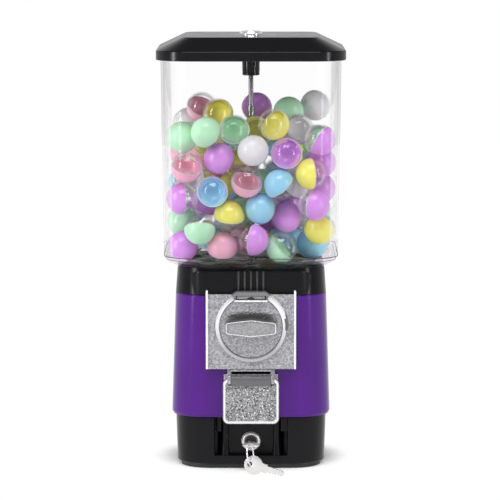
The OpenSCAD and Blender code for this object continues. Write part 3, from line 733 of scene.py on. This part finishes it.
def collar_panel():
    """The collar's front, flat with round ends, whose top edge falls towards both ends."""
    steps = 24
    half, corner, front, back = 64.5, 19.0, -77.9, -66.0
    top, bend, drop = 204.6, 44.0, 6.2
    # Each level has its share of the height and its share of the top edge's lean.
    levels = ((0.0, 0.0), (0.93, 0.0), (0.975, 0.25), (1.0, 1.0))
    lean = 1.4
    verts, faces = [], []
    for k in range(-steps, steps + 1):
        t = k / steps
        if abs(t) < 0.5:
            x, y = t * 2 * (half - corner), front
        else:
            a = (abs(t) - 0.5) / 0.5 * math.pi / 2
            x = math.copysign(half - corner + corner * math.sin(a), t)
            y = front + corner * (1 - math.cos(a))
        past = max(0.0, (abs(x) - bend) / (half - bend))
        edge = top - drop * past ** 2.2
        for share, part in levels:
            verts.append((x, y + part * lean, COLLAR_BOTTOM + (edge - COLLAR_BOTTOM) * share))
        verts.append((x * 0.94, back, edge))
        verts.append((x * 0.94, back, COLLAR_BOTTOM))
    width = len(levels) + 2
    for i in range(2 * steps):
        for k in range(width):
            k2 = (k + 1) % width
            faces.append((i * width + k, i * width + k2, (i + 1) * width + k2, (i + 1) * width + k))
    faces.append(tuple(range(width)))
    faces.append(tuple(2 * steps * width + k for k in range(width - 1, -1, -1)))
    return solid("collar_panel", verts, faces)


def make_collar():
    body = square_loft("collar_body", [
        (77.0, 179.3, 0, 34), (75.4, 203.0, 0, 34), (74.8, 206.6, 0.8, 33), (73.8, 207.0, 0, 32),
    ])
    boolean(body, [square_loft("cut", [(74.4, 181.5, 0, 31.5), (72.6, 204.4, 0, 31)])])
    lower = box_piece("cut", (-60, -60, 178), (60, 60, 190))
    boolean(body, [cylinder(COLLAR_BORE, 170, 220, 96), lower])
    skirt = lathe("skirt", [(COLLAR_BORE, 166, 0), (70.0, 166, 0), (70.0, 206.9, 0),
                            (COLLAR_BORE, 206.9, 0)], 96, closed=True)
    panel = collar_panel()
    boolean(panel, [cylinder(COLLAR_BORE, 170, 220, 96)])
    ribs = []
    for k in range(-2, 3):
        x = k * 6.3
        rib = prism("rib", rect(x - 0.9, 182.0, x + 0.9, 204.0, 0.8, 3), -79.3, -76)
        bevel(rib, 0.8, 4)
        settle(rib)
        shade(rib, 60, weighted=False)
        rib.data.materials.append(MATERIALS["rib_painted_highlight"])
        ribs.append(rib)
    for piece in (body, skirt, panel):
        shade(piece, 32)
        piece.data.materials.append(MATERIALS["black_satin"])
    collar = join("neck_collar", [body, skirt, panel, *ribs])
    finish_piece(collar, "cabinet", "black_satin", "neck_housing")


def make_shell():
    outer = square_loft("purple_shell", [
        (78.2, 54.0, 0, 31.5), (79.6, 54.1, 0.5, 33), (81.0, 57.2, 2.0, 34),
        (77.2, 177.9, 0.6, 34), (76.6, 179.0, 0, 33.5),
    ])
    hollow = square_loft("cut", [
        (77.0, 56.5, 0, 30.5), (78.5, 58.5, 0, 31.5), (74.7, 176.5, 0, 31.5),
    ])
    boolean(outer, [hollow])
    mouth = square_loft("cut", [(65, 50, 0, 24), (65, 58, 0, 24)])
    top = cylinder(70.5, 175, 185, 96)
    mech = box_piece("cut", (-40, -95, 113), (40, -60, 178))
    chute = box_piece("cut", (-26, -95, 50), (26, -60, 98))
    slot = box_piece("cut", (-21, -95, 90), (21, -60, 103))
    boolean(outer, [mouth, top, mech, chute, slot])
    bevel(outer, 0.3, 2, 40)
    settle(outer)
    shade(outer, 32)
    finish_piece(outer, "cabinet", "cabinet_purple", "body_shell")


# ---------------------------------------------------------------- base

def make_base():
    outer = square_loft("base_outer", [
        (74.6, 5.0, 0, 31.0), (75.5, 5.6, 0.5, 32), (75.7, 14.0, 0, 32), (77.0, 52.8, 0.4, 34),
        (76.4, 53.7, 0, 33.4),
    ])
    hollow = square_loft("cut", [(73.0, 8.0, 0, 29), (74.4, 60.0, 0, 31)])
    boolean(outer, [hollow])
    wall = plan_prism("wall", rounded([
        (-42, -74.5, 0), (42, -74.5, 0), (32, -69, 1), (28, -63.5, 1), (-28, -63.5, 1),
        (-32, -69, 1)], True, 3), 5.2, 53.6)
    boolean(outer, [wall], "UNION")
    recess = plan_prism("cut", rounded([
        (-38.5, -80, 0), (38.5, -80, 0), (36.6, -72.5, 1.0), (29.5, -66.5, 0.8), (-29.5, -66.5, 0.8),
        (-36.6, -72.5, 1.0)], True, 4), 13.4, 60)
    boolean(outer, [recess])
    boolean(outer, [place(cylinder(8.6, 0, 12), to_front(-60, BASE_LOCK_Z))])
    for x in (-40, 40):
        for y in (-40, 40):
            boolean(outer, [place(cylinder(2.75, 0, 20, 32), shift(x, y, 0))])
    parts = [outer]
    for side in (-1, 1):
        column = lathe("column", [(0, 13, 0), (4.6, 13, 0), (3.5, 26, 8), (3.3, 53.6, 0),
                                  (0, 53.6, 0)], 40)
        parts.append(place(column, shift(side * 26.2, -69.2, 0)))
        x0, x1 = sorted((side * 30.4, side * 37.2))
        shelf = plan_prism("shelf", [(x0, -71.2), (x1, -73.6), (x1, -66.2), (x0, -66.2)], 38, 53.6)
        bevel(shelf, 0.5, 2)
        parts.append(shelf)
    for piece in parts[1:]:
        settle(piece)
    base = join("base_tub", parts)
    shade(base, 32)
    finish_piece(base, "base", "black_satin", "base_tray")


# ---------------------------------------------------------------- coin mechanism front

def grid_panel(name, xs, zs, surface):
    """A sheet over a grid of x and z, with y from surface(x, z); faces look towards -Y."""
    verts = [(x, surface(x, z), z) for z in zs for x in xs]
    n = len(xs)
    faces = []
    for j in range(len(zs) - 1):
        for i in range(n - 1):
            a = j * n + i
            faces.append((a, a + 1, a + n + 1, a + n))
    return new_object(name, verts, faces)


def trim(obj, unwanted):
    """Removes the vertices of a sheet for which unwanted(x, z) holds, in millimetres."""
    bm = bmesh.new()
    bm.from_mesh(obj.data)
    gone = [v for v in bm.verts if unwanted(v.co.x / MM, v.co.z / MM)]
    bmesh.ops.delete(bm, geom=gone, context="VERTS")
    bm.to_mesh(obj.data)
    bm.free()


def paint_faces(obj, look, hit):
    """Gives the faces for which hit(normal, centre) holds, in millimetres, a second material;
    several callers paint shade into hollows with it.
    """
    obj.data.materials.append(MATERIALS[look])
    index = len(obj.data.materials) - 1
    for face in obj.data.polygons:
        if hit(face.normal, face.center / MM):
            face.material_index = index


def make_coin_plate():
    half, bottom, top = 45.7, 104.7, 181.0
    field = grid_panel(
        "field", np.linspace(-43.8, 43.8, 176), np.linspace(bottom + 3.4, top - 0.2, 154),
        lambda x, z: PLATE_FRONT + 0.45 - 0.1 * hammer(x, z, 1.6, 2.0))
    trim(field, lambda x, z: math.hypot(x, z - SHAFT_Z) < 32.6 or (abs(x) < 15.6 and z > 172))
    back = prism("back", rect(-half, bottom, half, top), PLATE_FRONT + 0.9, -82.6)
    hole = place(cylinder(31.95, 0, 20, 96), to_front(-78, SHAFT_Z))
    notch = box_piece("cut", (-15, -95, 172.8), (15, -79, 190))
    boolean(back, [hole, notch])
    shade(back, 40)
    shade(field, 60, weighted=False)
    lower = prism("lower", rect(-44, bottom, 44, bottom + 3.8, 0.5, 3), PLATE_FRONT - 0.25, -84)
    bevel(lower, 0.5, 3)
    parts = [field, back, lower]
    for side in (-1, 1):
        x0, x1 = sorted((side * 43.6, side * half))
        rail = prism("rail", rounded([
            (x0, bottom, 0.6), (x1, bottom, 0.6), (x1, top + 4, 1.2), (x0, top + 4, 1.2)
        ], True, 4), PLATE_FRONT - 1.5, -80.4)
        bevel(rail, 0.8, 3)
        parts.append(rail)
    for piece in parts[2:]:
        settle(piece)
        shade(piece, 40)
    for piece in parts:
        look = "die_cast" if piece in (field, back, lower) else "bright_cast"
        piece.data.materials.append(MATERIALS[look])
    plate = join("coin_plate_casting", parts)
    finish_piece(plate, "cabinet", "die_cast", "coin_plate")


def make_bezel():
    """Ring round the dial, open under the hood; its outer edge steps out on the right."""
    inner, outer, tail, gap = 32.05, 36.2, 37.8, 17.5
    front, back = PLATE_FRONT - 2.2, PLATE_FRONT
    start, step_out, end = 120, 356, 420
    sections = [(a, outer) for a in np.linspace(start, step_out, 120)]
    sections += [(a, tail) for a in np.linspace(step_out + 0.001, end, 40)]
    rings = []
    for a, r in sections:
        c, s = math.cos(math.radians(a)), math.sin(math.radians(a))
        profile = ((inner, back), (inner, front + 0.7), (inner + 0.25, front + 0.2),
                   (inner + 0.7, front), (r - 3.1, front), (r - 1.2, front),
                   (r - 0.4, front + 0.3), (r, front + 1.0), (r, back))
        rings.append([(radius * c, y, SHAFT_Z + radius * s) for radius, y in profile])
    ring = loft("bezel_ring", rings)
    cuts = [box_piece("cut", (-gap, -95, 172), (gap, -80, 190)),
            box_piece("cut", (-20.5, -95, 179.7), (20.5, -80, 190))]
    boolean(ring, cuts)
    shade(ring, 35)
    ring.data.materials.append(MATERIALS["bezel_metal"])
    # Painted shade: the outer edge of the ring's right tail gets the dark hinge metal.
    paint_faces(ring, "hinge_cast", lambda n, c: c.x > 34.5
          and math.hypot(c.x, c.z - SHAFT_Z) > 35 and c.z > SHAFT_Z - 4)
    finish_piece(ring, "cabinet", "polished", "dial_bezel")


def make_hood():
    back = PLATE_FRONT - 0.8
    shell = prism("hood_casting", rounded([
        (-17.2, 174.2, 0.4), (17.2, 174.2, 0.4), (17.2, 180, 0.2), (20, 180.6, 0.6), (14.8, 184, 1),
        (-14.8, 184, 1), (-20, 180.6, 0.6), (-17.2, 180, 0.2)], True, 4), -92, back)
    cap = prism("cap", [(-19.4, 181.0), (19.4, 181.0), (14.8, 184), (-14.8, 184)],
                back - 0.5, -79.5)
    boolean(shell, [cap], "UNION")
    for x in (-17.2, 15):
        foot = box_piece("foot", (x, back - 0.5, 176.4), (x + 2.2, PLATE_FRONT + 0.6, 181.5))
        boolean(shell, [foot], "UNION")
    window = prism("cut", rect(-15.6, 176.3, 15.6, 180.3, 0.6, 3), -95, -88.6)
    coin = box_piece("cut", (-13, -82.3, 170), (13, -79.7, 190))
    boolean(shell, [window, coin])
    bevel(shell, 0.3, 3, 35)
    settle(shell)
    inner = prism("inner", rect(-14.2, 177.0, 14.2, 179.7, 0.4, 3), -90.4, -88.4)
    boolean(inner, [place(cylinder(5.0, 0, 5), to_front(-87.0, 174.2))])
    bevel(inner, 0.3, 2)
    settle(inner)
    shade(inner, 35)
    sill = prism("sill", rect(-16.9, 174.3, 16.9, 175.8, 0.5, 3), -92.7, -91)
    bevel(sill, 0.45, 3)
    settle(sill)
    shade(sill, 35)
    shade(shell, 35)
    for piece, look in ((shell, "hood_cast"), (inner, "flat_cast"), (sill, "bright_cast")):
        piece.data.materials.append(MATERIALS[look])
    # Painted shade: the walls inside the window are dark.
    paint_faces(shell, "painted_shade_cast", lambda n, c: abs(c.x) < 15.7 and 176 < c.z < 180.5
          and -91.9 < c.y < -88.5)
    hood = join("hood_casting", [shell, sill, inner])
    finish_piece(hood, "cabinet", "die_cast", "coin_hood")


def make_handle():
    """Dial with a hollow above its grip, and the raised grip with a rim line round its face."""
    radius, top_y, dial_y, back_y = 31.6, -100.0, PLATE_FRONT - 0.1, -82.9
    rings, spokes = 62, 168

    def dish(x, z):
        """The dial's face: a deep hollow above the grip and a shallow one below it."""
        r = math.hypot(x, z) / radius
        near = math.exp(-((abs(z) - 5.0) / 7.0) ** 2) * max(0.0, 1 - (x / 27.0) ** 4)
        depth = 2.6 if z > 0 else 0.25
        return dial_y + depth * near * max(0.0, 1 - r ** 6)

    verts = [(0, dish(0, 0), SHAFT_Z)]
    faces = []
    for i in range(1, rings + 1):
        r = radius * i / rings
        calm = min(1.0, (rings - i) / 2.0)
        for k in range(spokes):
            a = TAU * k / spokes
            x, z = r * math.cos(a), r * math.sin(a)
            y = dish(x, z) - 0.1 * calm * hammer(x, z, 1.5, 11.0)
            verts.append((x, y, SHAFT_Z + z))
    back = len(verts)
    rim = back - spokes
    for k in range(spokes):
        a = TAU * k / spokes
        verts.append((radius * math.cos(a), back_y, SHAFT_Z + radius * math.sin(a)))
        faces.append((0, 1 + k, 1 + (k + 1) % spokes))
    for i in range(1, rings):
        for k in range(spokes):
            a, b = 1 + (i - 1) * spokes, 1 + i * spokes
            k2 = (k + 1) % spokes
            faces.append((a + k, b + k, b + k2, a + k2))
    for k in range(spokes):
        k2 = (k + 1) % spokes
        faces.append((rim + k, back + k, back + k2, rim + k2))
    faces.append(tuple(back + k for k in range(spokes - 1, -1, -1)))
    disc = solid("disc", verts, faces)

    loop = rounded([
        (-25.6, -4.6, 1.8), (-23.4, -5.9, 1.2), (0, -8.7, 3.0), (23.4, -5.9, 1.2),
        (25.6, -4.6, 1.8), (25.6, 4.6, 1.8), (23.4, 5.9, 1.2), (0, 8.7, 3.0),
        (-23.4, 5.9, 1.2), (-25.6, 4.6, 1.8)], True)
    grip = stack("grip", [
        (scaled(loop, 1.006, 1.05), dial_y + 1.6), (scaled(loop, 1.006, 1.05), dial_y - 1.0),
        (scaled(loop, 1.003, 1.02), dial_y - 4.0), (loop, top_y + 0.9),
        (scaled(loop, 0.99, 0.975), top_y + 0.15), (scaled(loop, 0.975, 0.94), top_y),
        (scaled(loop, 0.958, 0.885), top_y + 0.05), (scaled(loop, 0.935, 0.83), top_y + 1.3),
    ], SHAFT_Z)
    face = grid_panel("face", np.linspace(-23.6, 23.6, 90), np.linspace(-6.9, 6.9, 30),
                      lambda x, z: top_y + 1.25 - 0.06 * hammer(x, z, 1.4, 31.0))
    trim(face, lambda x, z: abs(z) > (1 - abs(x) / 25.0) * 2.4 + 4.6)
    place(face, shift(0, 0, SHAFT_Z))
    for piece, look in ((disc, "die_cast"), (grip, "flat_cast"), (face, "flat_cast")):
        shade(piece, 38, weighted=False)
        piece.data.materials.append(MATERIALS[look])
    # Painted shadow: the down-facing slope of the hollow above the grip is dark.
    paint_faces(disc, "painted_shade_cast", lambda n, c: n.z < -0.17 and 3 < c.z - SHAFT_Z < 22)
    paint_faces(grip, "bright_cast", lambda n, c: n.y < -0.6 and c.y < top_y + 0.5)
    # Painted shade: the grip's down-facing walls and its top wall are dark.
    paint_faces(grip, "painted_shade_cast", lambda n, c: c.z > SHAFT_Z and (
        (n.z < -0.3 and n.y > -0.95) or (n.z > 0.5 and c.y > top_y + 1.0)))
    handle = join("handle_casting", [disc, grip, face])
    finish_piece(handle, "handle", "die_cast", "coin_handle")


# ---------------------------------------------------------------- chute door

def make_door():
    low, high, half = 49.0, 95.5, 28.5
    mid = (low + high) / 2
    field = grid_panel("field", np.linspace(-26.3, 26.3, 160),
                       np.linspace(low + 2.2, high - 2.2, 132),
                       lambda x, z: -90.95 - 0.36 * hammer(x, z, 1.5, 5.0))
    outer = rect(-half, low, half, high, 5.6, 8)
    inner = rect(-half + 3.0, low + 3.0, half - 3.0, high - 3.0, 3.4, 8)
    slab = stack("slab", [
        (outer, -88.0), (outer, -91.0), (scaled(outer, 0.992, 0.99, mid), -91.6),
        (scaled(outer, 0.974, 0.968, mid), -92.0), (scaled(inner, 1.02, 1.024, mid), -92.0),
        (inner, -91.7), (scaled(inner, 0.985, 0.98, mid), -90.7),
    ])
    slab.data.materials.append(MATERIALS["flat_cast"])
    paint_faces(slab, "bright_cast", lambda n, c: n.y < -0.9)
    trim(field, lambda x, z: abs(x) < 23.4 and z > 88.3)
    notch = box_piece("cut", (-23.8, -96, 88.3), (23.8, -80, 100))
    boolean(slab, [notch])
    knuckle = lathe("knuckle", [(1.56, -20.2, 0), (4.0, -20.2, 0), (4.4, -19.8, 0), (4.4, 19.8, 0),
                                (4.0, 20.2, 0), (1.56, 20.2, 0)], 48, closed=True)
    place(knuckle, shift(0, HINGE_Y, HINGE_Z) @ Matrix.Rotation(math.pi / 2, 4, "Y"))
    web = box_piece("web", (-20.2, -92.3, 87.8), (20.2, -88.0, 97.6))
    bevel(web, 0.5, 3)
    settle(web)
    shade(slab, 40, weighted=False)
    for piece, look in ((field, "door_cast"), (knuckle, "hinge_cast"), (web, "hinge_cast")):
        shade(piece, 40, weighted=piece is web)
        piece.data.materials.append(MATERIALS[look])
    door = join("door_casting", [slab, field, knuckle, web])
    finish_piece(door, "door", "die_cast", "chute_door")


# ---------------------------------------------------------------- locks and keys

def make_lock():
    bezel = lathe("base_lock_bezel", [
        (6.1, 0, 0), (8.3, 0, 0), (8.3, 15.5, 0), (10.0, 15.5, 0.1), (10.0, 16.6, 0.5),
        (8.9, 19.4, 1.2), (7.4, 19.5, 0.4), (6.9, 18.4, 0.3), (6.1, 18.1, 0)
    ], 64, closed=True)
    place(bezel, to_front(-51, BASE_LOCK_Z))
    shade(bezel)
    finish_piece(bezel, "base", "polished", "base_lock_body")


def make_key_ring():
    """A split ring: nearly two turns of wire that rise by about its thickness."""
    radius, pitch, steps = 11.4, 1.15, 96
    count = 2 * steps
    centre = Vector((-0.6, -100.3, 19.3))
    turn = Matrix.Rotation(math.radians(-16), 3, "Z") @ Matrix.Rotation(math.radians(82), 3, "Y")
    points = []
    for k in range(count - 8):
        a = TAU * k / steps + 0.6
        rise = (k / count - 0.5) * pitch
        points.append(centre + turn @ Vector((radius * math.cos(a), radius * math.sin(a), rise)))
    ring = tube("split_ring", points, 0.5, 10)
    shade(ring, 60, weighted=False)
    finish_piece(ring, "key_ring", "polished", "key_ring")


# ---------------------------------------------------------------- CAD pieces that stay

def dress_cad():
    """Gives the CAD nodes that stay their materials, smooth shading, and edges welded and softened
    by modifiers.
    """
    slots = {row["node"]: row["material_slot"] for row in frame["record"]["subparts"]}
    for name, obj in nodes.items():
        if obj.hide_render:
            continue
        mesh = obj.data
        mesh.materials.clear()
        mesh.materials.append(MATERIALS[slots[name]])
        weld = obj.modifiers.new("weld", "WELD")
        weld.merge_threshold = 0.01 * MM
        bevel(obj, 0.25, 2, 32)
        mesh.polygons.foreach_set("use_smooth", [True] * len(mesh.polygons))


# ---------------------------------------------------------------- stage

def make_floor():
    """A pale floor that turns into plain white light away from the machine."""
    reach = 4.0 / MM
    near_edge, far_edge = 0.07, 0.108
    corners = [(-reach, -reach, 0), (reach, -reach, 0), (reach, reach, 0), (-reach, reach, 0)]
    floor = new_object("floor", corners, [(0, 1, 2, 3)])
    s = Shader(bpy.data.materials.new("floor_white"))
    near = principled(s, Base_Color=(0.93, 0.93, 0.94, 1), Roughness=0.6)
    far = s.add("ShaderNodeEmission")
    far.inputs["Strength"].default_value = 1.02
    coords = s.add("ShaderNodeTexCoord")
    length = s.add("ShaderNodeVectorMath", operation="LENGTH")
    s.link(coords.outputs["Object"], length.inputs[0])
    share = s.remap(length.outputs["Value"], 0.0, 1.0, near_edge, far_edge, "SMOOTHSTEP")
    s.show(s.mix(share, near, far))
    floor.data.materials.append(s.owner)


def make_world():
    """A dim gradient, brighter behind and darker overhead, and white to the camera itself."""
    world = bpy.data.worlds.new("studio")
    scene.world = world
    s = Shader(world, "ShaderNodeOutputWorld")
    axes = s.axes("Generated")
    depth = s.remap(axes["Y"], 0.26, 0.6, -0.5, 0.5, "SMOOTHSTEP")
    height = s.remap(axes["Z"], 1.0, 0.12, 0.35, 0.7, "SMOOTHSTEP")
    path = s.add("ShaderNodeLightPath")
    light = s.math("MAXIMUM", s.math("MULTIPLY", depth, height), path.outputs["Is Camera Ray"])
    back = s.add("ShaderNodeBackground")
    back.inputs["Color"].default_value = (1, 1, 1, 1)
    s.link(light, back.inputs["Strength"])
    s.show(back)


def aimed(name, data, where, look):
    """A light or camera at a point, looking at another."""
    obj = bpy.data.objects.new(name, data)
    scene.collection.objects.link(obj)
    obj.location = where
    aim = Vector(look) - Vector(where)
    obj.rotation_euler = aim.to_track_quat("-Z", "Y").to_euler()
    return obj


def make_lights():
    for name, where, look, width, height, power in (
            ("left_box", (-1.5, -1.0, 0.8), (0, 0, 0.22), 0.25, 1.5, 18),
            ("right_box", (1.5, -1.0, 0.8), (0, 0, 0.22), 0.25, 1.5, 10),
            ("top_box", (0, -0.9, 1.9), (0, 0, 0.2), 1.4, 0.8, 30)):
        data = bpy.data.lights.new(name, "AREA")
        data.shape = "RECTANGLE"
        data.size, data.size_y = width, height
        data.energy = power
        aimed(name, data, where, look)


def make_camera():
    data = bpy.data.cameras.new("camera")
    data.lens = 209.2
    data.sensor_width = 36
    data.clip_end = 20
    scene.camera = aimed("camera", data, (0, -3.0, 0.572), (-0.001, 0, 0.2162))


scene.view_settings.view_transform = "Standard"
scene.cycles.transparent_max_bounces = 48
scene.cycles.max_bounces = 12
make_camera()
make_floor()
make_world()
make_lights()
make_lid()
make_canister()
make_capsules()
make_collar()
make_shell()
make_base()
make_coin_plate()
make_bezel()
make_hood()
make_handle()
make_door()
make_lock()
make_key_ring()
dress_cad()
